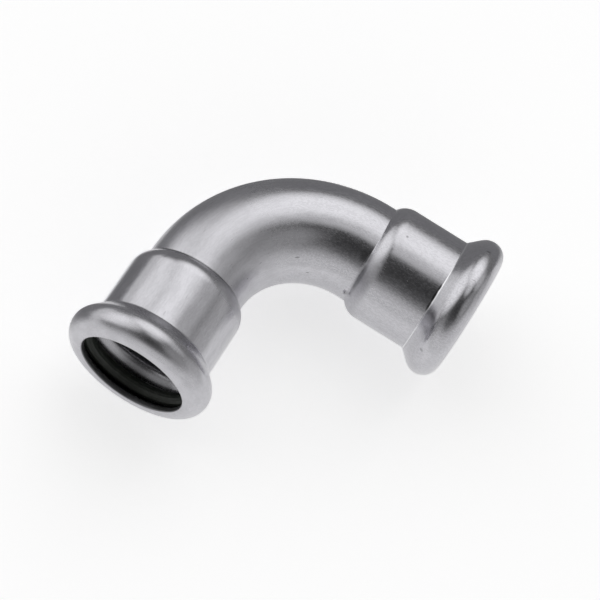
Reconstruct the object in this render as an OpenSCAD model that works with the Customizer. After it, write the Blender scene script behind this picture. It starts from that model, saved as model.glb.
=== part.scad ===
// Press-fit elbow: a 90 degree bend with two equal plain sockets.
// One stainless tube is bent, both of its ends are opened into sockets, and each mouth is rolled into a
// bead that holds a sealing ring. The fitting lies as it comes to rest, on its two beads and the back of
// its bend. Seen from the open side of the bend, the left leg points along -Y and the right leg along +X.
// All sizes are in millimetres.

/* [Tube] */
// Outside diameter of the pipe to be joined, and of the bent tube
pipe_od = 22; // [18:0.5:28]
// Wall thickness of the formed tube
wall = 1.5; // [1:0.1:2]
// Radius of the bend at the middle of the tube
bend_radius = 26; // [20:0.5:44]
// Straight tube between the bend and the shoulder
neck_len = 1.6; // [0.4:0.2:12]

/* [Socket] */
// Radial room between the pipe and the socket
socket_clearance = 0.4; // [0.2:0.05:0.6]
// Outer radius of the round shoulder where the tube opens into the socket
shoulder_radius = 3.5; // [2.6:0.1:8]
// Straight wall of the socket, from the shoulder to the bead
socket_len = 12.8; // [8:0.2:30]

/* [Bead] */
// Angle at which the wall flares out into the bead
flare_angle = 40; // [30:1:55]
// Room round the sealing ring inside the roll of the bead
roll_room = 0.6; // [0.4:0.05:1]
// Room between the sealing ring and the crown of the bead
crown_room = 0.3; // [0.1:0.05:0.4]
// Radial room between the pipe and the rolled lip
lip_clearance = 0.6; // [0.3:0.05:1.2]

/* [Sealing ring] */
// Thickness of the ring's round cord
seal_cord = 3.1; // [2.4:0.1:4.5]
// Radial room between the pipe and the ring before pressing
seal_clearance = 0.2; // [0.05:0.05:0.3]
// Room between the ring and the flare that it lies against
seat_clearance = 0.1; // [0.05:0.05:0.3]

/* [Hidden] */
$fn = 96;

steel = [0.74, 0.74, 0.76];
rubber = [0.05, 0.05, 0.05];

// Radii of the tube, the socket and the mouth
tube_r = pipe_od / 2;
bore_r = tube_r - wall;
socket_r = tube_r + socket_clearance;
lip_r = tube_r + lip_clearance;

// Shoulder: an arc that runs on into the socket wall and meets the tube in a crisp corner
shoulder_rise = socket_r + wall - tube_r;
shoulder_len = sqrt(2 * shoulder_radius * shoulder_rise - shoulder_rise ^ 2);
shoulder_ring_r = socket_r + wall - shoulder_radius;
shoulder_clip_r = socket_r + 2 * wall;

// Sealing ring: its inside clears the pipe
seal_r = seal_cord / 2;
seal_ring_r = tube_r + seal_clearance + seal_r;

// Roll of the bead, formed round the ring: its inner radius, and the radius of its circle of centres
roll_r = seal_r + roll_room;
roll_ring_r = seal_ring_r + seal_r + crown_room - roll_r;

// Stations along a leg, from the point where the two legs' axes cross
neck_mid_z = bend_radius + neck_len / 2;
neck_z = bend_radius + neck_len;
shoulder_z = neck_z + shoulder_len;
flare_z = shoulder_z + socket_len;
roll_z = flare_contact(roll_ring_r, roll_r);
seal_z = flare_contact(seal_ring_r, seal_r + seat_clearance);
front_z = roll_z + roll_r + wall;

// Overlap by which the flare runs into the roll
flare_bite = 0.002;

// Rest pose: both beads and the back of the bend touch the ground
leg_share = 1 / sqrt(2);
bend_back = bend_radius * (sqrt(2) - 1);
reach = roll_z * leg_share - bend_back;
drop = roll_r + wall - tube_r;
stance = reach ^ 2 + roll_ring_r ^ 2 / 2;
tilt_sin = (reach * drop + sqrt((reach * drop) ^ 2 - stance * (drop ^ 2 - roll_ring_r ^ 2))) / stance;
tilt = asin(tilt_sin);
lift = tube_r - bend_back * tilt_sin;

// Middle of the fitting's box as it lies, measured along each leg from the crossing of the axes
along = (cos(tilt) + 1) / 2;
across = (cos(tilt) - 1) / 2;
box_mid = (roll_z * (along + across) + bead_reach(along) - bead_reach(across)) / 2;

// Station of a circle that touches the inside of the flare, from its radius and its distance to the axis
function flare_contact(ring_r, r) =
    flare_z + (ring_r + r / cos(flare_angle) - socket_r) / tan(flare_angle);

// How far a bead reaches from its centre, in a direction with that cosine to its leg
function bead_reach(cosine) = roll_ring_r * sqrt(1 - cosine ^ 2) + roll_r + wall;

// Lays the fitting, built round the crossing of its axes with a level bend, down in its rest pose
module at_rest() {
    translate([-box_mid, box_mid, lift])
        rotate(a = tilt, v = [-1, -1, 0])
            children();
}

// Turns a piece built along +Z onto the left leg
module on_left_leg() {
    rotate([90, 0, 0])
        children();
}

// Turns a piece built along +Z onto the right leg
module on_right_leg() {
    rotate([0, 90, 0])
        children();
}

// Half outline of a leg, filled to its axis and grown by a thickness: 0 gives the hollow, the wall the
// outside. A hollow runs past the axis and the start of the leg, so that it cuts clean.
module leg_outline(grow, past) {
    crease_z = flare_z - grow * tan(flare_angle / 2);
    bite_r = roll_r + grow - flare_bite;
    polygon([
        [-past, bend_radius - past],
        [bore_r + grow, bend_radius - past],
        [bore_r + grow, shoulder_z],
        [socket_r + grow, shoulder_z],
        [socket_r + grow, crease_z],
        [roll_ring_r + bite_r * cos(flare_angle), roll_z - bite_r * sin(flare_angle)],
        [roll_ring_r, roll_z],
        [-past, roll_z]
    ]);
    translate([roll_ring_r, roll_z])
        circle(roll_r + grow);
    intersection() {
        translate([shoulder_ring_r, shoulder_z])
            circle(shoulder_radius - wall + grow);
        polygon([
            [0, neck_mid_z],
            [shoulder_clip_r, neck_mid_z],
            [shoulder_clip_r, shoulder_z],
            [0, shoulder_z]
        ]);
    }
}

// Wall of a leg in half section: neck, shoulder, socket, flare, roll and the lip that the mouth leaves
module leg_section() {
    difference() {
        leg_outline(wall, 0);
        leg_outline(0, wall);
        translate([-wall, roll_z - wall])
            square([wall + lip_r, front_z - roll_z + 2 * wall]);
    }
}

// One formed leg along +Z, from the end of the bend to the mouth
module leg() {
    rotate_extrude()
        leg_section();
}

// Quarter bend between the two legs
module bend() {
    translate([bend_radius, -bend_radius, 0])
        rotate([0, 0, 90])
            rotate_extrude(angle = 90)
                translate([bend_radius, 0])
                    difference() {
                        circle(tube_r);
                        circle(bore_r);
                    }
}

// Round sealing ring of a leg along +Z
module seal_ring() {
    translate([0, 0, seal_z])
        rotate_extrude()
            translate([seal_ring_r, 0])
                circle(seal_r);
}

module elbow_body() {
    color(steel)
        at_rest() {
            bend();
            on_left_leg()
                leg();
            on_right_leg()
                leg();
        }
}

module left_seal_ring() {
    color(rubber)
        at_rest()
            on_left_leg()
                seal_ring();
}

module right_seal_ring() {
    color(rubber)
        at_rest()
            on_right_leg()
                seal_ring();
}

elbow_body();
left_seal_ring();
right_seal_ring();
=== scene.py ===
"""Right-angle press-fit elbow in satin stainless steel, lying on a pale studio floor.

The elbow is one formed tube: a quarter bend whose two ends open into plain sockets, each mouth rolled into
a bead that holds a black sealing ring. Its wall section is drawn once as an outline along a straight tube,
turned round the tube's axis, bent, and laid down in its rest pose. The rings are made the same way.
"""

import logging
import math
from dataclasses import dataclass, field
from enum import Enum

import bmesh
import bpy
from mathutils import Matrix, Vector


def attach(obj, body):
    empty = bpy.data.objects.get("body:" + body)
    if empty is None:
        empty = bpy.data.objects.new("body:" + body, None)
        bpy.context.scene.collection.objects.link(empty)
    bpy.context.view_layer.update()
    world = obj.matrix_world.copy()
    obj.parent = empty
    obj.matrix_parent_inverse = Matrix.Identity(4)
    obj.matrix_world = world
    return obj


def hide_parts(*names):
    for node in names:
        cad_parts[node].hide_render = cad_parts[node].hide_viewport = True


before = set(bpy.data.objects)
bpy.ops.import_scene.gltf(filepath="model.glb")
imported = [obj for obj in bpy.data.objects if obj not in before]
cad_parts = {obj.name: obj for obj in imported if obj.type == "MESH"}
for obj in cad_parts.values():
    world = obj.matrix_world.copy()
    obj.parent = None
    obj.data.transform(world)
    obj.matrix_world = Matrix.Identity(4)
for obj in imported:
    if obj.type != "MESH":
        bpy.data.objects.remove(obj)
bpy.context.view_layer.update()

LOG = logging.getLogger("press_fit_elbow")
MM = 0.001
# Outline points this close, in millimetres, are one point, and so are mesh points within the weld, in metres
SAME_POINT = 1e-5
WELD = 1e-7
# Longest step along a plain wall, in millimetres
WALL_STEP = 1.2

Socket = bpy.types.NodeSocket
Point = tuple[float, float]
Triple = tuple[float, float, float]
Colour = tuple[float, float, float]
# Where an eased change starts and ends, and its results before and after it
Ramp = tuple[float, float, float, float]


class Leg(Enum):
    """The two legs of the elbow, by the side of the bend's middle that they lie on."""

    LEFT = -1
    RIGHT = 1


class Side(Enum):
    """The two faces of the formed wall."""

    OUTSIDE = 0.0
    INSIDE = 1.0


class Graph:
    """A node tree with short calls that add nodes and link them."""

    def __init__(self, tree: bpy.types.NodeTree) -> None:
        """Keeps the tree that the calls add to."""
        self.tree = tree

    @classmethod
    def material(cls, name: str) -> tuple[bpy.types.Material, "Graph"]:
        """Makes an empty node material.

        Args:
            name: Name of the material.

        Returns:
            The material and the graph of its node tree.
        """
        material = bpy.data.materials.new(name)
        material.use_nodes = True
        material.node_tree.nodes.clear()
        return material, cls(material.node_tree)

    def add(self, kind: str, *inputs: object, **settings: object) -> bpy.types.Node:
        """Adds a node.

        Args:
            kind: Blender's name of the node's type.
            inputs: Values or output sockets for its inputs in use, in order; None leaves one as it is.
            settings: Attributes of the node, set before its inputs.

        Returns:
            The new node.
        """
        node = self.tree.nodes.new(kind)
        for name, value in settings.items():
            setattr(node, name, value)
        sockets = [socket for socket in node.inputs if socket.enabled]
        for socket, value in zip(sockets, inputs):
            self.feed(socket, value)
        return node

    def feed(self, socket: Socket, value: object) -> None:
        """Links an output to an input socket, or sets the socket's own value.

        Args:
            socket: The input socket.
            value: An output socket, a plain value, or None to leave the socket as it is.
        """
        if isinstance(value, Socket):
            self.tree.links.new(value, socket)
        elif value is not None:
            socket.default_value = value

    def out(self, kind: str, *inputs: object, **settings: object) -> Socket:
        """Adds a node as add() does and returns its first output in use."""
        node = self.add(kind, *inputs, **settings)
        return next(socket for socket in node.outputs if socket.enabled)

    def math(self, operation: str, *values: object) -> Socket:
        """Adds a Math node and returns its result."""
        return self.out("ShaderNodeMath", *values, operation=operation)

    def vector(self, operation: str, *values: object) -> Socket:
        """Adds a Vector Math node and returns its result."""
        return self.out("ShaderNodeVectorMath", *values, operation=operation)

    def combine(self, x: object, y: object, z: object) -> Socket:
        """Joins three numbers into a vector."""
        return self.out("ShaderNodeCombineXYZ", x, y, z)

    def separate(self, vector: Socket) -> list[Socket]:
        """Splits a vector into its three numbers."""
        return list(self.add("ShaderNodeSeparateXYZ", vector).outputs)

    def remap(self, value: object, *ramp: float) -> Socket:
        """Eases a number along a ramp: its start and end, and the results before and after it."""
        return self.out("ShaderNodeMapRange", value, *ramp, interpolation_type="SMOOTHSTEP")

    def mix(self, share: object, first: object, second: object) -> Socket:
        """Mixes two numbers by a share: 0 for the first, 1 for the second."""
        return self.out("ShaderNodeMix", share, first, second, data_type="FLOAT")

    def blend(self, share: object, first: object, second: object) -> Socket:
        """Mixes two colours by a share: 0 for the first, 1 for the second."""
        return self.out("ShaderNodeMix", share, first, second, data_type="RGBA")

    def weigh(self, start: object, *parts: tuple[object, object]) -> Socket:
        """Adds weighted numbers to a start.

        Args:
            start: Number to start from.
            parts: Each further number with its weight.

        Returns:
            The sum.
        """
        for value, weight in parts:
            start = self.math("MULTIPLY_ADD", value, weight, start)
        return start

    def millimetres(self) -> Socket:
        """Gives the Object coordinates in millimetres."""
        return self.vector("MULTIPLY", self.add("ShaderNodeTexCoord").outputs["Object"], (1.0 / MM,) * 3)


def opaque(colour: Colour) -> tuple[float, float, float, float]:
    """Gives a colour its alpha."""
    return (*colour, 1.0)


def on_tube(turn: float, radius: float, length: float) -> Triple:
    """Point of the straightened tube, from degrees round it, its radius and the length along it."""
    angle = math.radians(turn)
    return (radius * math.cos(angle), radius * math.sin(angle), length)


WHITE = opaque((1.0, 1.0, 1.0))


@dataclass(frozen=True)
class Texture:
    """Fractal noise, in cells per millimetre along each coordinate."""

    cells: Triple
    detail: float
    rough: float

    def read(self, g: Graph, place: Socket) -> Socket:
        """Reads the noise, from about 0 to 1, at coordinates in millimetres."""
        scaled = g.vector("MULTIPLY", place, self.cells)
        return g.out("ShaderNodeTexNoise", scaled, 1.0, self.detail, self.rough)


@dataclass(frozen=True)
class DarkSpot:
    """A small dark spot on the tube, in degrees round it and millimetres along it: a real nick or stain, or
    a patch of painted shade.
    """

    turn: float
    length: float
    radius: float
    reach: Triple
    depth: float
    core: float = 0.35

    def mask(self, g: Graph, straight: Socket) -> Socket:
        """Builds the mark's strength from the coordinates along the straightened tube.

        Args:
            g: Graph of the material.
            straight: Coordinates along the straightened tube.

        Returns:
            The strength, from 0 to the mark's depth.
        """
        place = on_tube(self.turn, self.radius, self.length)
        apart = g.vector("DIVIDE", g.vector("SUBTRACT", straight, place), self.reach)
        return g.remap(g.vector("LENGTH", apart), self.core, 1.0, self.depth, 0.0)


@dataclass(frozen=True)
class SatinSteel:
    """Finish of the formed tube: grain rolled round the beads, drawn along the rest, duller inside; with
    painted shade and a painted crease highlight.
    """

    name: str = "satin_stainless"
    light: Colour = (0.605, 0.600, 0.630)
    dark: Colour = (0.535, 0.530, 0.557)
    mark_and_shade: Colour = (0.16, 0.16, 0.165)
    # Colour of dull raw metal, partly painted shade
    raw_and_shade: Colour = (0.20, 0.20, 0.205)
    # Colour of the painted highlight along each bead's crease
    painted_highlight: Colour = (0.88, 0.88, 0.90)

    # Patterns on the straightened tube
    drawn: Texture = Texture((3.0, 3.0, 0.45), 3.0, 0.6)
    rolled: Texture = Texture((0.45, 0.45, 3.4), 3.0, 0.6)
    long_streak: Texture = Texture((0.65, 0.65, 0.22), 2.0, 0.55)
    round_streak: Texture = Texture((0.30, 0.30, 0.80), 2.0, 0.55)
    cloud: Texture = Texture((0.24, 0.24, 0.24), 3.0, 0.55)
    speckle: Texture = Texture((3.4, 3.4, 3.4), 2.0, 0.6)
    scratch: Texture = Texture((2.1, 2.1, 0.34), 1.0, 0.5)
    fleck: Texture = Texture((3.0, 3.0, 1.5), 2.0, 0.6)
    fleck_middle: float = 0.5
    fleck_growth: Ramp = (-12.0, 14.0, 0.35, 1.0)
    bead_part: Ramp = (36.9, 38.4, 0.0, 1.0)

    # Colour: the grain's tone, small dark marks and painted shade, and a painted highlight line along each
    # bead's crease
    grain_tone: float = 0.5
    streak_tone: float = 0.5
    fleck_tone: float = 1.4
    tone_span: Ramp = (0.34, 0.66, 0.0, 1.0)
    speckle_marks: Ramp = (0.72, 0.82, 0.0, 0.6)
    scratch_marks: Ramp = (0.74, 0.82, 0.0, 0.4)
    crease_line: float = 37.74
    painted_highlight_line: Ramp = (0.05, 0.19, 0.8, 0.0)

    # Dull raw metal, whose dark colour is partly painted shade: the bore, and the cut end of the lip
    bore_radius: Ramp = (10.2, 11.3, 1.0, 0.22)
    bore_length: Ramp = (14.0, 21.0, 0.5, 0.95)
    lip_length: Ramp = (43.6, 44.2, 0.0, 1.0)
    lip_radius: Ramp = (11.62, 11.8, 1.0, 0.0)

    # Roughness, and what each pattern and place adds to it
    roughness: float = 0.11
    cloud_rough: float = 0.10
    grain_rough: float = 0.08
    inside_rough: float = -0.03
    dull_rough: float = 0.22
    bead_rough: Ramp = (-10.0, 10.0, 0.06, -0.015)
    fleck_rough: Ramp = (0.0, 1.0, 0.26, 0.14)
    bend_rough: Ramp = (-9.0, 7.0, 0.11, 0.0)
    bend_end: Ramp = (21.0, 22.5, 1.0, 0.0)
    shoulder_rough: Ramp = (21.4, 22.1, 0.0, 0.28)
    shoulder_end: Ramp = (24.4, 26.5, 1.0, 0.0)
    inner_side: Ramp = (-8.0, -3.0, 1.0, 0.0)

    # Relief in millimetres
    grain_relief: float = 0.0020
    streak_relief: float = 0.0036
    speckle_relief: float = 0.0012
    fleck_relief: float = 0.0022
    mark_and_shade_relief: float = -0.0010

    dark_spots: tuple[DarkSpot, ...] = (
        # Real scratches on the bend and a small pit on the right socket
        DarkSpot(turn=144.5, length=2.5, radius=11.0, reach=(0.22, 0.22, 1.1), depth=0.7),
        DarkSpot(turn=166.0, length=7.0, radius=11.0, reach=(0.25, 0.25, 0.8), depth=0.6),
        DarkSpot(turn=84.5, length=26.4, radius=12.9, reach=(0.4, 0.4, 0.4), depth=0.55),
        # Painted shade: dark dashes along the lower part of the right bead's crease
        DarkSpot(turn=110.0, length=37.47, radius=12.9, reach=(1.0, 1.0, 0.32), depth=1.0),
        DarkSpot(turn=119.5, length=37.44, radius=12.9, reach=(1.8, 1.8, 0.36), depth=1.0),
        DarkSpot(turn=130.0, length=37.46, radius=12.9, reach=(1.5, 1.5, 0.32), depth=1.0),
        # Painted shade: a dark band in the left leg's neck corner
        DarkSpot(turn=75.0, length=-22.15, radius=11.4, reach=(17.0, 17.0, 0.5), depth=0.7),
        # Painted shade: dark patches on the right neck by the shoulder's foot and on the shoulder
        DarkSpot(turn=121.5, length=21.4, radius=11.0, reach=(2.0, 2.0, 2.0), depth=0.45),
        DarkSpot(turn=147.0, length=22.5, radius=11.8, reach=(5.5, 5.5, 0.8), depth=0.4),
        # Real small marks on the right bead
        DarkSpot(turn=62.0, length=42.2, radius=16.0, reach=(0.5, 0.5, 0.7), depth=0.5),
        DarkSpot(turn=162.5, length=40.95, radius=15.7, reach=(0.5, 0.5, 0.8), depth=0.4),
        # Painted shade: a faint dark smudge on the right bead's flare
        DarkSpot(turn=150.0, length=39.8, radius=14.9, reach=(2.2, 2.2, 2.0), depth=0.25),
    )

    def material(self) -> bpy.types.Material:
        """Builds the finish as a node material.

        Returns:
            The material.
        """
        material, g = Graph.material(self.name)
        straight = g.add("ShaderNodeAttribute", attribute_name="straight").outputs["Vector"]
        inside = g.add("ShaderNodeAttribute", attribute_name="inside").outputs["Fac"]
        x, y, length = g.separate(straight)
        along = g.math("ABSOLUTE", length)
        out = g.math("SQRT", g.math("MULTIPLY_ADD", x, x, g.math("MULTIPLY", y, y)))
        on_bead = g.remap(along, *self.bead_part)

        grain = g.mix(on_bead, self.drawn.read(g, straight), self.rolled.read(g, straight))
        streak = g.mix(on_bead, self.long_streak.read(g, straight), self.round_streak.read(g, straight))
        cloud = self.cloud.read(g, straight)
        speckle = self.speckle.read(g, straight)
        scratch = self.scratch.read(g, straight)
        fleck = g.math("SUBTRACT", self.fleck.read(g, straight), self.fleck_middle)
        fleck = g.math("MULTIPLY", fleck, g.remap(length, *self.fleck_growth))

        # Dark marks: real speckles, scratches and nicks, and patches of painted shade
        marks_and_shade = g.remap(speckle, *self.speckle_marks)
        marks_and_shade = g.math("MAXIMUM", marks_and_shade, g.remap(scratch, *self.scratch_marks))
        for spot in self.dark_spots:
            marks_and_shade = g.math("MAXIMUM", marks_and_shade, spot.mask(g, straight))
        bore = g.math("MULTIPLY", inside, g.remap(out, *self.bore_radius))
        bore = g.math("MULTIPLY", bore, g.remap(along, *self.bore_length))
        cut_end = g.math("MULTIPLY", g.remap(along, *self.lip_length), g.remap(out, *self.lip_radius))
        dull_and_shade = g.math("MAXIMUM", bore, cut_end)

        tone = g.math("MULTIPLY", streak, self.streak_tone)
        tone = g.weigh(tone, (grain, self.grain_tone), (fleck, self.fleck_tone))
        colour = g.blend(g.remap(tone, *self.tone_span), opaque(self.dark), opaque(self.light))
        from_crease = g.math("ABSOLUTE", g.math("SUBTRACT", along, self.crease_line))
        outside = g.math("SUBTRACT", 1.0, inside)
        # Painted highlight: a bright line along each bead's crease, on the outside only
        crease_highlight = g.math("MULTIPLY", g.remap(from_crease, *self.painted_highlight_line), outside)
        colour = g.blend(crease_highlight, colour, opaque(self.painted_highlight))
        colour = g.blend(marks_and_shade, colour, opaque(self.mark_and_shade))
        # Duller metal in the bore and on the lip's cut end, its dark colour partly painted shade
        colour = g.blend(dull_and_shade, colour, opaque(self.raw_and_shade))

        shoulder = g.remap(along, *self.shoulder_rough)
        shoulder = g.math("MULTIPLY", shoulder, g.remap(along, *self.shoulder_end))
        rough = g.weigh(
            self.roughness,
            (cloud, self.cloud_rough),
            (grain, self.grain_rough),
            (inside, self.inside_rough),
            (on_bead, g.remap(length, *self.bead_rough)),
            (dull_and_shade, self.dull_rough),
            (fleck, g.remap(on_bead, *self.fleck_rough)),
            (g.remap(length, *self.bend_rough), g.remap(along, *self.bend_end)),
            (shoulder, g.remap(x, *self.inner_side)),
        )
        relief = g.weigh(
            g.math("MULTIPLY", grain, self.grain_relief),
            (streak, self.streak_relief),
            (speckle, self.speckle_relief),
            (fleck, self.fleck_relief),
            (marks_and_shade, self.mark_and_shade_relief),
        )
        bump = g.out("ShaderNodeBump", 1.0, MM, None, relief)
        shader = g.add("ShaderNodeBsdfPrincipled")
        g.feed(shader.inputs["Base Color"], colour)
        g.feed(shader.inputs["Metallic"], 1.0)
        g.feed(shader.inputs["Roughness"], rough)
        g.feed(shader.inputs["Normal"], bump)
        g.add("ShaderNodeOutputMaterial", shader.outputs[0])
        return material


@dataclass(frozen=True)
class MouldedRubber:
    """Finish of the sealing rings: black elastomer with a faint bloom and a little dust."""

    name: str = "black_seal_rubber"
    base: Colour = (0.030, 0.035, 0.029)
    bloom: Colour = (0.047, 0.053, 0.045)
    dust: Colour = (0.09, 0.09, 0.085)
    cloud: Texture = Texture((0.55, 0.55, 0.55), 3.0, 0.6)
    grain: Texture = Texture((9.0, 9.0, 9.0), 2.0, 0.6)
    bloom_span: Ramp = (0.40, 0.75, 0.0, 1.0)
    dust_span: Ramp = (0.74, 0.82, 0.0, 0.5)
    roughness: float = 0.38
    cloud_rough: float = 0.16
    gloss: float = 0.4
    relief: float = 0.004
    relief_share: float = 0.5

    def material(self) -> bpy.types.Material:
        """Builds the finish as a node material.

        Returns:
            The material.
        """
        material, g = Graph.material(self.name)
        place = g.millimetres()
        cloud, grain = self.cloud.read(g, place), self.grain.read(g, place)
        colour = g.blend(g.remap(cloud, *self.bloom_span), opaque(self.base), opaque(self.bloom))
        colour = g.blend(g.remap(grain, *self.dust_span), colour, opaque(self.dust))
        rough = g.weigh(self.roughness, (cloud, self.cloud_rough))
        bump = g.out("ShaderNodeBump", self.relief_share, self.relief * MM, None, grain)
        shader = g.add("ShaderNodeBsdfPrincipled")
        g.feed(shader.inputs["Base Color"], colour)
        g.feed(shader.inputs["Roughness"], rough)
        g.feed(shader.inputs["Specular IOR Level"], self.gloss)
        g.feed(shader.inputs["Normal"], bump)
        g.add("ShaderNodeOutputMaterial", shader.outputs[0])
        return material


@dataclass
class Outline:
    """A half section along a straight tube, as points of a station and a radius in millimetres."""

    points: list[Point] = field(default_factory=list)
    sides: list[Side] = field(default_factory=list)

    def add(self, station: float, radius: float, side: Side) -> None:
        """Adds one point, unless it repeats the last one."""
        if self.points and math.dist(self.points[-1], (station, radius)) < SAME_POINT:
            return
        self.points.append((station, radius))
        self.sides.append(side)

    def line(self, station: float, radius: float, side: Side, step: float = WALL_STEP) -> None:
        """Draws a straight line from the last point.

        Args:
            station: Station of the line's end.
            radius: Radius of the line's end.
            side: Face of the wall that the line is on.
            step: Longest distance between its points.
        """
        start = self.points[-1]
        count = max(1, math.ceil(math.dist(start, (station, radius)) / step))
        for i in range(1, count + 1):
            self.add(*between(start, (station, radius), i / count), side)

    def soften(self, first: int, step: float, width: float, fade: float) -> None:
        """Smooths the run from a point to the last one, as forming rounds a wall; the ends stay.

        Args:
            first: Index of the run's first point.
            step: Distance between the points of the smoothed run.
            width: Width of the smoothing along the run.
            fade: Length at the run's end over which the smoothing dies away.
        """
        run = self.points[first:]
        ends = [0.0]
        for start, end in zip(run, run[1:]):
            ends.append(ends[-1] + math.dist(start, end))
        count = max(4, round(ends[-1] / step))
        even: list[Point] = []
        at = 0
        for i in range(count + 1):
            length = ends[-1] * i / count
            while at < len(run) - 2 and ends[at + 1] < length:
                at += 1
            share = (length - ends[at]) / (ends[at + 1] - ends[at])
            even.append(between(run[at], run[at + 1], share))
        smooth = list(even)
        for _ in range(max(1, round(2.0 * (width / step) ** 2))):
            inner = zip(smooth, smooth[1:], smooth[2:])
            smooth[1:-1] = [tuple((a + 2.0 * b + c) / 4.0 for a, b, c in zip(*three)) for three in inner]
        side = self.sides[-1]
        del self.points[first:], self.sides[first:]
        for i, (old, new) in enumerate(zip(even, smooth)):
            share = min(1.0, ends[-1] * (1.0 - i / count) / fade)
            share = share * share * (3.0 - 2.0 * share)
            self.points.append(between(old, new, share))
            self.sides.append(side)

    def arc(self, centre: Point, radius: float, first: float, last: float, side: Side, step: float) -> None:
        """Draws an arc and a line to its start, where that isn't the last point.

        Args:
            centre: Station and radius of the arc's centre.
            radius: Radius of the arc.
            first: Angle of its start in degrees, from the direction of the mouth towards larger radii.
            last: Angle of its end.
            side: Face of the wall that the arc is on.
            step: Widest angle between its points.
        """
        count = max(2, math.ceil(abs(last - first) / step))
        for i in range(count + 1):
            angle = math.radians(first + (last - first) * i / count)
            self.add(centre[0] + radius * math.cos(angle), centre[1] + radius * math.sin(angle), side)


def between(start: Point, end: Point, share: float) -> Point:
    """Point at a share of the way from one outline point to another."""
    return tuple(a + (b - a) * share for a, b in zip(start, end))


def heading(start: Point, end: Point) -> float:
    """Angle in degrees of the direction from one outline point to another."""
    return math.degrees(math.atan2(end[1] - start[1], end[0] - start[0]))


@dataclass(frozen=True)
class Fineness:
    """Longest steps that the wall's outline is drawn with, in millimetres and, on arcs, degrees."""

    neck: float = 0.25
    shoulder_arc: float = 2.5
    shoulder_top: float = 0.3
    shoulder_run: float = 0.16
    bead_arc: float = 5.0
    bead_run: float = 0.25
    lip_arc: float = 12.0
    lip_face: float = 0.5
    lip_back_arc: float = 20.0
    roll_arc: float = 7.0
    crease_arc: float = 4.0
    hollow_arc: float = 9.0
    inner_edge_arc: float = 15.0


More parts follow.
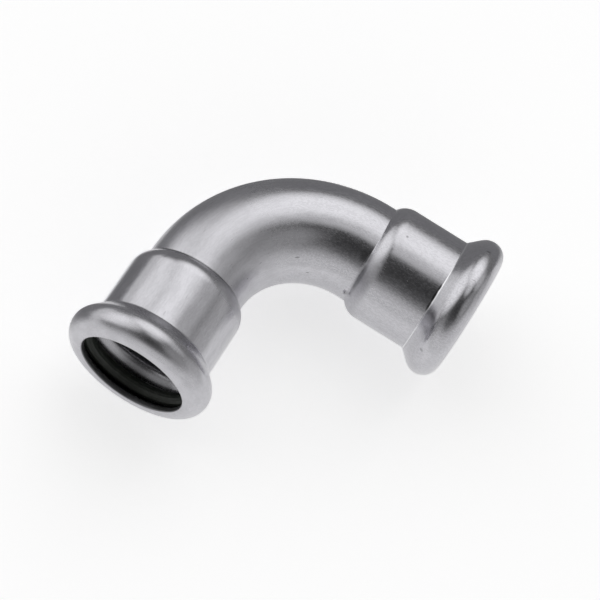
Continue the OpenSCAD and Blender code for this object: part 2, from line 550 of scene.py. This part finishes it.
@dataclass
class FormedTube:
    """Sizes of the formed tube in millimetres and degrees, and its wall section."""

    tube_radius: float = 11.0
    wall: float = 1.5
    bend_radius: float = 26.0
    neck: float = 1.6
    socket_radius: float = 11.4
    shoulder_radius: float = 3.5
    socket_length: float = 12.8
    flare_angle: float = 40.0
    lip_radius: float = 11.6
    roll_radius: float = 2.15
    roll_ring: float = 12.45

    # Rounding that forming leaves on the wall
    neck_fillet: float = 0.12
    shoulder_round: float = 4.7
    shoulder_lead: float = 1.5
    shoulder_soft: float = 0.12
    shoulder_fade: float = 1.5
    crease_shift: float = 0.25
    crease_round: float = 0.5
    bead_top: float = 45.0
    bead_soft: float = 0.6
    bead_fade: float = 3.0
    lip_edge: float = 0.55
    lip_back_share: float = 0.7
    inner_edge: float = 1.2
    inner_crease: float = 3.0
    bend_steps: int = 30
    fine: Fineness = Fineness()

    @property
    def bore_radius(self) -> float:
        """Radius of the bent tube's passage."""
        return self.tube_radius - self.wall

    @property
    def socket_outside(self) -> float:
        """Outside radius of the socket."""
        return self.socket_radius + self.wall

    @property
    def half_bend(self) -> float:
        """Length of half the bend along the tube's axis."""
        return self.bend_radius * math.pi / 4

    @property
    def shoulder_end(self) -> float:
        """Station along a leg, from the crossing of the axes, where the socket's straight wall starts."""
        return self.bend_radius + self.neck + self.shoulder_length(self.shoulder_radius)

    @property
    def flare_start(self) -> float:
        """Station where the inside of the socket flares into the bead."""
        return self.shoulder_end + self.socket_length

    @property
    def flare_end(self) -> float:
        """Angle on the bead's roll where the flare runs into it."""
        return 90.0 + self.flare_angle

    @property
    def half_flare(self) -> float:
        """Tangent of half the flare's angle."""
        return math.tan(math.radians(self.flare_angle / 2))

    @property
    def roll(self) -> Point:
        """Station and radius of the middle of the bead's roll."""
        return (self.flare_contact(self.roll_ring, self.roll_radius), self.roll_ring)

    def shoulder_length(self, radius: float) -> float:
        """Length of a shoulder of this radius, from the tube to the socket."""
        rise = self.socket_outside - self.tube_radius
        return math.sqrt(2 * radius * rise - rise**2)

    def flare_contact(self, ring: float, radius: float) -> float:
        """Station of a circle, by its centre's distance from the axis, that touches the flare's inside."""
        angle = math.radians(self.flare_angle)
        return self.flare_start + (ring + radius / math.cos(angle) - self.socket_radius) / math.tan(angle)

    def along(self, station: float) -> float:
        """Turns a station on a leg into a length along the axis from the middle of the bend."""
        return station - self.bend_radius + self.half_bend

    def leg_outline(self) -> Outline:
        """Draws the wall of a leg, out along its outside, round the lip and back along its inside.

        Returns:
            The outline, with stations from the crossing of the axes.
        """
        line = Outline()
        self.draw_outside(line)
        self.draw_inside(line)
        return line

    def lip_corner(self, reach: float, edge: float) -> Point:
        """Centre of a rounded edge of the lip, at a reach from the middle of the roll."""
        drop = self.lip_radius + edge - self.roll_ring
        return (self.roll[0] + math.sqrt(reach**2 - drop**2), self.lip_radius + edge)

    def draw_outside(self, line: Outline) -> None:
        """Draws the outside of the neck, shoulder, socket and bead, as far as the lip's front edge.

        Args:
            line: The outline to draw on.
        """
        side, fine, top = Side.OUTSIDE, self.fine, self.socket_outside
        line.add(self.bend_radius, self.tube_radius, side)
        foot = (self.bend_radius + self.neck, self.tube_radius)
        line.line(foot[0] - self.neck_fillet, foot[1], side, fine.neck)
        start = len(line.points)
        line.line(*foot, side)
        centre = (foot[0] + self.shoulder_length(self.shoulder_round), top - self.shoulder_round)
        line.arc(centre, self.shoulder_round, heading(centre, foot), 90.0, side, fine.shoulder_arc)
        line.line(centre[0] + self.shoulder_lead, top, side, fine.shoulder_top)
        line.soften(start, fine.shoulder_run, self.shoulder_soft, self.shoulder_fade)

        crease = self.flare_start - self.wall * self.half_flare + self.crease_shift
        crease -= self.crease_round * self.half_flare
        line.line(crease, top, side)
        centre = (crease, top + self.crease_round)
        line.arc(centre, self.crease_round, -90.0, self.flare_angle - 90.0, side, fine.bead_arc)
        start = len(line.points) - 1
        roll, radius, turn = self.roll, self.roll_radius + self.wall, math.radians(self.flare_end)
        line.line(roll[0] + radius * math.cos(turn), roll[1] + radius * math.sin(turn), side)
        line.arc(roll, radius, self.flare_end, self.bead_top, side, fine.bead_arc)
        line.soften(start, fine.bead_run, self.bead_soft, self.bead_fade)

        corner = self.lip_corner(radius - self.lip_edge, self.lip_edge)
        meet = heading(roll, corner)
        line.arc(roll, radius, self.bead_top, meet, side, fine.bead_arc)
        line.arc(corner, self.lip_edge, meet, -90.0, side, fine.lip_arc)

    def draw_inside(self, line: Outline) -> None:
        """Draws the inside from the lip's back edge through the bead and the socket to the neck.

        Args:
            line: The outline to draw on.
        """
        side, fine, roll = Side.INSIDE, self.fine, self.roll
        edge = self.lip_back_share * self.lip_edge
        corner = self.lip_corner(self.roll_radius + edge, edge)
        meet = heading(roll, corner)
        line.line(corner[0], self.lip_radius, side, fine.lip_face)
        line.arc(corner, edge, -90.0, meet - 180.0, side, fine.lip_back_arc)
        line.arc(roll, self.roll_radius, meet, self.flare_end, side, fine.roll_arc)

        edge = self.inner_crease
        corner = (self.flare_start - edge * self.half_flare, self.socket_radius + edge)
        line.arc(corner, edge, self.flare_angle - 90.0, -90.0, side, fine.crease_arc)
        line.line(self.shoulder_end, self.socket_radius, side)
        edge, hollow = self.inner_edge, self.shoulder_radius - self.wall
        centre = (self.shoulder_end, self.socket_outside - self.shoulder_radius)
        drop = self.bore_radius + edge - centre[1]
        corner = (centre[0] - math.sqrt((hollow + edge) ** 2 - drop**2), self.bore_radius + edge)
        meet = heading(centre, corner)
        line.arc(centre, hollow, 90.0, meet, side, fine.hollow_arc)
        line.arc(corner, edge, meet - 180.0, -90.0, side, fine.inner_edge_arc)
        line.line(self.bend_radius, self.bore_radius, side)

    def wall_outline(self) -> Outline:
        """Draws the whole wall as a closed loop along the straightened tube.

        Returns:
            The loop, with lengths along the axis from the middle of the bend.
        """
        leg = self.leg_outline()
        bend = [self.half_bend * i / self.bend_steps for i in range(self.bend_steps)]
        half = Outline()
        for length in bend:
            half.add(length, self.tube_radius, Side.OUTSIDE)
        for (station, radius), side in zip(leg.points, leg.sides):
            half.add(self.along(station), radius, side)
        for length in reversed(bend):
            half.add(length, self.bore_radius, Side.INSIDE)
        loop = Outline(list(half.points), list(half.sides))
        for (length, radius), side in list(zip(half.points, half.sides))[-2:0:-1]:
            loop.add(-length, radius, side)
        return loop


@dataclass
class SealRing:
    """Sizes of one sealing ring in millimetres and degrees, and its cord's section."""

    leg: Leg
    ring_radius: float = 12.75
    cord_radius: float = 1.55
    seat_clearance: float = 0.1
    flash_height: float = 0.05
    flash_angle: float = 4.0
    line_angles: tuple[float, ...] = (25.0, 47.0, 70.0)
    steps: int = 144

    def cord_outline(self, tube: FormedTube) -> Outline:
        """Draws the round cord, with the flash of its mould and fine lines on the side of the pipe.

        Args:
            tube: The tube whose bead the ring lies in.

        Returns:
            The loop, with lengths along the axis from the middle of the bend.
        """
        reach = self.cord_radius + self.seat_clearance
        middle = tube.along(tube.flare_contact(self.ring_radius, reach)) * self.leg.value
        loop = Outline()
        for i in range(self.steps):
            angle = 360.0 * i / self.steps
            outer, inner = abs(angle - 90.0), abs(angle - 270.0)
            nearest = min(outer, inner, *(abs(inner - (90.0 - line)) for line in self.line_angles))
            flash = self.flash_height * math.exp(-((nearest / self.flash_angle) ** 2))
            radius = self.cord_radius - self.flash_height + flash
            turn = math.radians(angle)
            station = middle + radius * math.cos(turn)
            loop.add(station, self.ring_radius + radius * math.sin(turn), Side.OUTSIDE)
        return loop


@dataclass
class RestPose:
    """How the elbow lies on its two beads and the back of its bend, in degrees and millimetres."""

    tilt: float = 12.312559
    crossing: Triple = (-18.218016, 18.218016, 8.703452)
    axis: Triple = (-1.0, -1.0, 0.0)


@dataclass
class BentTurning:
    """Turns a closed section round the tube's axis, bends it and lays it down, with Geometry Nodes."""

    tube: FormedTube
    pose: RestPose
    segments: int = 180

    # Waves in the wall, with a fixed shift as their seed, the right shoulder's lean and the burr by it
    ripple: Texture = Texture((0.16, 0.16, 0.16), 1.0, 0.4)
    ripple_depth: float = 0.05
    ripple_seed: float = 300.0
    lean: float = 0.45
    lean_shift: float = 0.20
    lean_span: tuple[float, float, float, float] = (15.0, 20.0, 26.0, 32.0)
    burr_height: float = 0.8
    burr_reach: float = 1.2
    burr_turn: float = 176.5
    burr_length: float = 21.75

    tree: bpy.types.NodeTree | None = None
    sockets: dict[str, str] = field(default_factory=dict)

    def add_inputs(self) -> None:
        """Adds the tree's named inputs and keeps their identifiers."""
        kinds = {
            "Geometry": ("Section",),
            "Int": ("Section points", "Segments"),
            "Float": ("Bend radius", "Ripple depth", "Shoulder lean", "Burr height", "Tilt"),
            "Vector": ("Tilt axis", "Crossing"),
            "Material": ("Material",),
        }
        interface = self.tree.interface
        for kind, names in kinds.items():
            for name in names:
                socket = interface.new_socket(name=name, in_out="INPUT", socket_type="NodeSocket" + kind)
                self.sockets[name] = socket.identifier

    def build_tree(self) -> None:
        """Builds the node tree that every turned piece uses."""
        self.tree = bpy.data.node_groups.new("Bent turning", "GeometryNodeTree")
        self.tree.is_modifier = True
        self.tree.interface.new_socket(name="Geometry", in_out="OUTPUT", socket_type="NodeSocketGeometry")
        self.add_inputs()
        g = Graph(self.tree)
        given = g.add("NodeGroupInput").outputs

        rows = g.math("ADD", given["Section points"], 1)
        columns = g.math("ADD", given["Segments"], 1)
        grid = g.add("GeometryNodeMeshGrid", 1.0, 1.0, rows, columns)
        share = g.separate(g.out("GeometryNodeInputPosition"))
        row = g.math("ROUND", g.math("MULTIPLY", g.math("ADD", share[0], 0.5), given["Section points"]))
        row = g.math("MODULO", row, given["Section points"])
        turn = g.math("MULTIPLY", g.math("ADD", share[1], 0.5), math.tau)

        section = g.out(
            "GeometryNodeSampleIndex", given["Section"], g.out("GeometryNodeInputPosition"), row,
            data_type="FLOAT_VECTOR", domain="POINT",
        )
        face = g.add("GeometryNodeInputNamedAttribute", "inside", data_type="FLOAT").outputs["Attribute"]
        face = g.out(
            "GeometryNodeSampleIndex", given["Section"], face, row, data_type="FLOAT", domain="POINT"
        )
        straight = self.form(g, given, section, turn)

        laid = grid.outputs["Mesh"]
        for name, value, kind, domain in (
            ("straight", g.vector("MULTIPLY", straight, (1.0 / MM,) * 3), "FLOAT_VECTOR", "POINT"),
            ("inside", face, "FLOAT", "POINT"),
            ("UVMap", grid.outputs["UV Map"], "FLOAT2", "CORNER"),
        ):
            laid = g.add(
                "GeometryNodeStoreNamedAttribute", laid, None, name, value, data_type=kind, domain=domain
            ).outputs[0]

        stored = g.add("GeometryNodeInputNamedAttribute", "straight", data_type="FLOAT_VECTOR")
        bent = self.bend(g, given, g.vector("MULTIPLY", stored.outputs["Attribute"], (MM,) * 3))
        laid = g.out("GeometryNodeSetPosition", laid, None, bent)
        laid = g.add("GeometryNodeMergeByDistance", laid, None, WELD).outputs[0]
        laid = g.out("GeometryNodeSetShadeSmooth", laid, None, True)
        laid = g.out("GeometryNodeRealizeInstances", laid)
        laid = g.out("GeometryNodeSetMaterial", laid, None, given["Material"])
        g.add("NodeGroupOutput", laid)

    def form(self, g: Graph, given: bpy.types.NodeOutputs, section: Socket, turn: Socket) -> Socket:
        """Turns the section round the axis, with the lean, waves and burr that forming leaves.

        Args:
            g: Graph of the tree.
            given: The tree's inputs.
            section: Point of the section.
            turn: Angle round the axis.

        Returns:
            The place of each point on the straightened tube.
        """
        radius, _, length = g.separate(section)
        cosine, sine = g.math("COSINE", turn), g.math("SINE", turn)
        before, first, last, after = (part * MM for part in self.lean_span)
        lean = g.remap(length, before, first, 0.0, 1.0)
        lean = g.math("MULTIPLY", lean, g.remap(length, last, after, 1.0, 0.0))
        lean = g.math("MULTIPLY", lean, g.math("ADD", cosine, self.lean_shift / self.lean))
        length = g.math("SUBTRACT", length, g.math("MULTIPLY", lean, given["Shoulder lean"]))

        waves = g.combine(
            g.math("MULTIPLY", cosine, self.tube.tube_radius),
            g.math("MULTIPLY", sine, self.tube.tube_radius),
            g.math("MULTIPLY_ADD", length, 1.0 / MM, self.ripple_seed),
        )
        ripple = g.math("MULTIPLY", self.ripple.read(g, waves), given["Ripple depth"])
        radius = g.math("SUBTRACT", radius, ripple)
        burr_place = on_tube(self.burr_turn, self.tube.tube_radius, self.burr_length)
        at = g.combine(g.math("MULTIPLY", radius, cosine), g.math("MULTIPLY", radius, sine), length)
        apart = g.vector("DISTANCE", at, tuple(part * MM for part in burr_place))
        burr = g.remap(apart, 0.0, self.burr_reach * MM, 1.0, 0.0)
        radius = g.math("MULTIPLY_ADD", burr, given["Burr height"], radius)
        return g.combine(g.math("MULTIPLY", radius, cosine), g.math("MULTIPLY", radius, sine), length)

    @staticmethod
    def bend(g: Graph, given: bpy.types.NodeOutputs, straight: Socket) -> Socket:
        """Bends the straight turning round a quarter circle and lays it down.

        Args:
            g: Graph of the tree.
            given: The tree's inputs.
            straight: Place on the straightened tube: away from the bend's centre, across its plane, and
                along the axis from the middle of the bend.

        Returns:
            The place of each point in the row's frame.
        """
        x, y, length = g.separate(straight)
        eighth = math.pi / 4
        angle = g.out("ShaderNodeClamp", g.math("DIVIDE", length, given["Bend radius"]), -eighth, eighth)
        rest = g.math("SUBTRACT", length, g.math("MULTIPLY", angle, given["Bend radius"]))
        facing = g.math("SUBTRACT", 3 * eighth, angle)
        cosine, sine = g.math("COSINE", facing), g.math("SINE", facing)
        out = g.math("ADD", given["Bend radius"], x)
        place = g.combine(
            g.math("ADD", g.math("MULTIPLY", out, cosine), g.math("MULTIPLY", rest, sine)),
            g.math("SUBTRACT", g.math("MULTIPLY", out, sine), g.math("MULTIPLY", rest, cosine)),
            y,
        )
        centre = g.combine(given["Bend radius"], g.math("MULTIPLY", given["Bend radius"], -1.0), 0.0)
        level = g.vector("ADD", place, centre)
        turned = g.out(
            "ShaderNodeVectorRotate", level, (0.0, 0.0, 0.0), given["Tilt axis"], given["Tilt"],
            rotation_type="AXIS_ANGLE",
        )
        return g.vector("ADD", turned, given["Crossing"])

    def make(
        self, name: str, outline: Outline, material: bpy.types.Material, formed: bool
    ) -> bpy.types.Object:
        """Makes one piece from its closed section.

        Args:
            name: Name of the piece.
            outline: The section, as lengths along the axis and radii in millimetres.
            material: Finish of the piece.
            formed: Whether the piece has the lean, waves and burr that forming leaves.

        Returns:
            The piece as a plain mesh object at the origin.
        """
        count = len(outline.points)
        mesh = bpy.data.meshes.new(name + "_section")
        corners = [(radius * MM, 0.0, length * MM) for length, radius in outline.points]
        mesh.from_pydata(corners, [(i, (i + 1) % count) for i in range(count)], [])
        attribute = mesh.attributes.new("inside", "FLOAT", "POINT")
        attribute.data.foreach_set("value", [side.value for side in outline.sides])
        piece = bpy.data.objects.new(name, mesh)
        bpy.context.scene.collection.objects.link(piece)

        modifier = piece.modifiers.new("Bent turning", "NODES")
        modifier.node_group = self.tree
        values = {
            "Section points": count,
            "Segments": self.segments,
            "Bend radius": self.tube.bend_radius * MM,
            "Ripple depth": self.ripple_depth * MM if formed else 0.0,
            "Shoulder lean": self.lean * MM if formed else 0.0,
            "Burr height": self.burr_height * MM if formed else 0.0,
            "Tilt": math.radians(self.pose.tilt),
            "Tilt axis": self.pose.axis,
            "Crossing": tuple(part * MM for part in self.pose.crossing),
            "Material": material,
        }
        for title, value in values.items():
            modifier[self.sockets[title]] = value
        graph = bpy.context.evaluated_depsgraph_get()
        made = bpy.data.meshes.new_from_object(piece.evaluated_get(graph))
        made.name = name
        piece.modifiers.clear()
        piece.data = made
        bpy.data.meshes.remove(mesh)
        face_outwards(made)
        return piece


def face_outwards(mesh: bpy.types.Mesh) -> None:
    """Turns the faces of a closed mesh outwards.

    Args:
        mesh: The mesh, whose doubles are merged already.
    """
    work = bmesh.new()
    work.from_mesh(mesh)
    bmesh.ops.recalc_face_normals(work, faces=work.faces)
    if work.calc_volume(signed=True) < 0.0:
        bmesh.ops.reverse_faces(work, faces=work.faces)
    work.to_mesh(mesh)
    work.free()


@dataclass
class PressElbow:
    """The elbow: one formed tube and the sealing ring in each of its beads."""

    tube: FormedTube = field(default_factory=FormedTube)
    pose: RestPose = field(default_factory=RestPose)
    steel: SatinSteel = field(default_factory=SatinSteel)
    rubber: MouldedRubber = field(default_factory=MouldedRubber)

    def build(self) -> list[bpy.types.Object]:
        """Builds, dresses and seats every piece.

        Returns:
            The pieces.
        """
        turning = BentTurning(self.tube, self.pose)
        turning.build_tree()
        pieces = [self.build_tube(turning)]
        finish = self.rubber.material()
        for leg in Leg:
            pieces.append(self.build_ring(turning, leg, finish))
        return pieces

    def build_tube(self, turning: BentTurning) -> bpy.types.Object:
        """Builds the formed tube.

        Args:
            turning: What turns and bends the section.

        Returns:
            The tube.
        """
        outline = self.tube.wall_outline()
        tube = turning.make("formed_tube", outline, self.steel.material(), formed=True)
        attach(tube, "root")
        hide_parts("elbow_body")
        return tube

    def build_ring(self, turning: BentTurning, leg: Leg, finish: bpy.types.Material) -> bpy.types.Object:
        """Builds the sealing ring of one leg.

        Args:
            turning: What turns and bends the section.
            leg: The leg that the ring sits in.
            finish: Material of the ring.

        Returns:
            The ring.
        """
        side = leg.name.lower()
        outline = SealRing(leg).cord_outline(self.tube)
        ring = turning.make(f"{side}_seal", outline, finish, formed=False)
        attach(ring, "root")
        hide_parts(f"{side}_seal_ring")
        return ring


@dataclass(frozen=True)
class Softbox:
    """A broad soft light far off, as a round patch of the studio's surroundings, in degrees."""

    azimuth: float
    elevation: float
    full: float
    end: float
    strength: float

    def direction(self) -> Vector:
        """Direction from the elbow to the middle of the softbox."""
        turn, rise = math.radians(self.azimuth), math.radians(self.elevation)
        return Vector((math.cos(rise) * math.cos(turn), math.cos(rise) * math.sin(turn), math.sin(rise)))

    def patch(self, g: Graph, ray: Socket, around: float, middle: float) -> Socket:
        """Eases, over directions, from a level around the softbox to another in its middle."""
        low, high = (math.cos(math.radians(angle)) for angle in (self.end, self.full))
        return g.remap(g.vector("DOT_PRODUCT", ray, self.direction()), low, high, around, middle)


@dataclass
class Studio:
    """Pale floor, dark card, soft lights and camera."""

    # The floor, and the height of the dark card over it, in metres
    floor_radius: float = 2.5
    floor_segments: int = 96
    floor_height: float = -0.00003
    flag_height: float = 0.0002
    floor_colour: Colour = (0.80, 0.80, 0.80)
    floor_lift: float = 0.57
    floor_mirrored: Ramp = (0.03, 0.24, 0.49, 0.33)

    # The dark card, in millimetres on the floor: three edges, a gap on the left, and two ends,
    # each with the azimuth of its line, the side that stays and a point on the line
    flag_colour: Colour = (0.42, 0.42, 0.43)
    flag_left: Ramp = (-41.0, -36.0, 1.0, 0.0)
    flag_back: Ramp = (35.0, 42.0, 0.0, 1.0)
    flag_slant: Ramp = (26.5, 32.0, 0.0, 1.0)
    slant_share: float = 0.7071
    gap_slope: float = 0.70
    gap_front: Ramp = (-40.0, 10.0, 1.0, 0.0)
    gap_far: Ramp = (-125.0, -80.0, 1.0, 0.0)
    flag_ends: tuple[tuple[float, float, Point], ...] = (
        (47.0, 1.0, (25.0, 30.0)),
        (203.0, -1.0, (-35.0, -32.0)),
    )
    end_fade: Point = (12.0, 14.0)

    # Levels of the surroundings, and the camera
    ceiling: float = 0.075
    wall_azimuth: float = 308.0
    wall_sweep: Ramp = (-0.2, 0.75, 0.15, 0.68)
    wall_height: Ramp = (0.15, 1.05, 1.0, 0.0)
    softboxes: tuple[Softbox, ...] = (
        Softbox(azimuth=107.0, elevation=40.0, full=2.0, end=42.0, strength=1.28),
        Softbox(azimuth=112.0, elevation=70.0, full=2.0, end=22.0, strength=0.75),
        Softbox(azimuth=168.0, elevation=24.0, full=3.0, end=50.0, strength=1.16),
        Softbox(azimuth=56.0, elevation=44.0, full=2.0, end=28.0, strength=0.56),
        Softbox(azimuth=12.0, elevation=8.0, full=10.0, end=50.0, strength=0.52),
        Softbox(azimuth=350.0, elevation=55.0, full=4.0, end=34.0, strength=0.36),
    )
    shade: Softbox = Softbox(azimuth=264.0, elevation=56.0, full=6.0, end=32.0, strength=0.5)
    lens: float = 119.032
    sensor: float = 36.0
    clip: Point = (0.01, 20.0)
    camera_place: Triple = (-43.922368, -123.766440, 400.427937)
    camera_right: Triple = (0.811738, 0.520988, 0.263919)
    camera_up: Triple = (-0.573342, 0.796911, 0.190293)
    camera_back: Triple = (-0.111180, -0.305784, 0.945587)

    def build(self) -> None:
        """Builds the floor, the flag, the surroundings and the camera."""
        bpy.context.scene.view_settings.view_transform = "Standard"
        self.build_floor()
        self.build_flag()
        self.build_surroundings()
        self.build_camera()

    def lay_disc(self, name: str, height: float, material: bpy.types.Material) -> bpy.types.Object:
        """Lays a round sheet as wide as the floor.

        Args:
            name: Name of the sheet.
            height: Its height in metres.
            material: Its material.

        Returns:
            The sheet.
        """
        mesh = bpy.data.meshes.new(name)
        work = bmesh.new()
        bmesh.ops.create_circle(work, cap_ends=True, segments=self.floor_segments, radius=self.floor_radius)
        work.to_mesh(mesh)
        work.free()
        mesh.materials.append(material)
        disc = bpy.data.objects.new(name, mesh)
        disc.location = (0.0, 0.0, height)
        bpy.context.scene.collection.objects.link(disc)
        return disc

    def build_floor(self) -> None:
        """Builds the pale floor, which keeps the elbow's shadow."""
        material, g = Graph.material("pale_floor")
        rays = g.add("ShaderNodeLightPath").outputs
        seen = g.math("MULTIPLY", rays["Is Camera Ray"], self.floor_lift)
        away = g.vector("LENGTH", g.add("ShaderNodeTexCoord").outputs["Object"])
        mirrored = g.math("MAXIMUM", rays["Is Glossy Ray"], rays["Is Transmission Ray"])
        mirrored = g.math("MULTIPLY", mirrored, g.remap(away, *self.floor_mirrored))
        lift = g.out("ShaderNodeEmission", WHITE, g.math("MAXIMUM", seen, mirrored))
        matt = g.out("ShaderNodeBsdfDiffuse", opaque(self.floor_colour))
        g.add("ShaderNodeOutputMaterial", g.out("ShaderNodeAddShader", lift, matt))
        floor = self.lay_disc("floor", self.floor_height, material)

    def build_flag(self) -> None:
        """Builds the dark card behind the elbow, which only the steel's reflections show."""
        material, g = Graph.material("dark_card")
        place = g.millimetres()
        x, y, _ = g.separate(place)
        slant = g.math("MULTIPLY", g.math("SUBTRACT", y, x), self.slant_share)
        card = g.math("MAXIMUM", g.remap(x, *self.flag_left), g.remap(y, *self.flag_back))
        card = g.math("MAXIMUM", card, g.remap(slant, *self.flag_slant))
        gap = g.remap(g.math("MULTIPLY_ADD", x, self.gap_slope, y), *self.gap_front)
        gap = g.math("MULTIPLY", gap, g.remap(x, *self.gap_far))
        card = g.math("MULTIPLY", card, g.math("SUBTRACT", 1.0, gap))
        for azimuth, turn, pivot in self.flag_ends:
            angle = math.radians(azimuth)
            side = (-math.sin(angle) * turn, math.cos(angle) * turn, 0.0)
            start = pivot[0] * side[0] + pivot[1] * side[1]
            past = g.vector("DOT_PRODUCT", place, side)
            end = g.remap(past, start - self.end_fade[0], start + self.end_fade[1], 0.0, 1.0)
            card = g.math("MULTIPLY", card, end)
        clear = g.out("ShaderNodeBsdfTransparent")
        matt = g.out("ShaderNodeBsdfDiffuse", opaque(self.flag_colour))
        g.add("ShaderNodeOutputMaterial", g.out("ShaderNodeMixShader", card, clear, matt))
        flag = self.lay_disc("edge_flag", self.flag_height, material)
        flag.visible_camera = False
        flag.visible_shadow = False
        flag.visible_diffuse = False
        flag.visible_transmission = False

    def build_surroundings(self) -> None:
        """Builds the studio round the elbow: a dim ceiling, a pale wall in front and the softboxes."""
        world = bpy.data.worlds.new("studio")
        world.use_nodes = True
        world.node_tree.nodes.clear()
        g = Graph(world.node_tree)
        ray = g.add("ShaderNodeTexCoord").outputs["Generated"]
        turn = math.radians(self.wall_azimuth)
        facing = g.vector("DOT_PRODUCT", ray, (math.cos(turn), math.sin(turn), 0.0))
        height = g.remap(g.separate(ray)[2], *self.wall_height)
        light = g.math("MULTIPLY_ADD", g.remap(facing, *self.wall_sweep), height, self.ceiling)
        for box in self.softboxes:
            light = g.math("MAXIMUM", light, box.patch(g, ray, 0.0, box.strength))
        light = g.math("MULTIPLY", light, self.shade.patch(g, ray, 1.0, 1.0 - self.shade.strength))
        g.add("ShaderNodeOutputWorld", g.out("ShaderNodeBackground", WHITE, light))
        bpy.context.scene.world = world

    def build_camera(self) -> None:
        """Builds the camera at the photograph's viewing angle."""
        data = bpy.data.cameras.new("camera")
        data.lens = self.lens
        data.sensor_width = self.sensor
        data.clip_start, data.clip_end = self.clip
        camera = bpy.data.objects.new("camera", data)
        axes = Matrix((self.camera_right, self.camera_up, self.camera_back)).transposed().to_4x4()
        camera.matrix_world = Matrix.Translation(Vector(self.camera_place) * MM) @ axes
        bpy.context.scene.collection.objects.link(camera)
        bpy.context.scene.camera = camera


def main() -> None:
    """Builds the studio and the elbow and reports each piece."""
    logging.basicConfig(level=logging.INFO, format="%(name)s: %(message)s")
    Studio().build()
    for piece in PressElbow().build():
        mesh = piece.data
        LOG.info("%s: %d points, %d faces", piece.name, len(mesh.vertices), len(mesh.polygons))


if __name__ == "__main__":
    main()
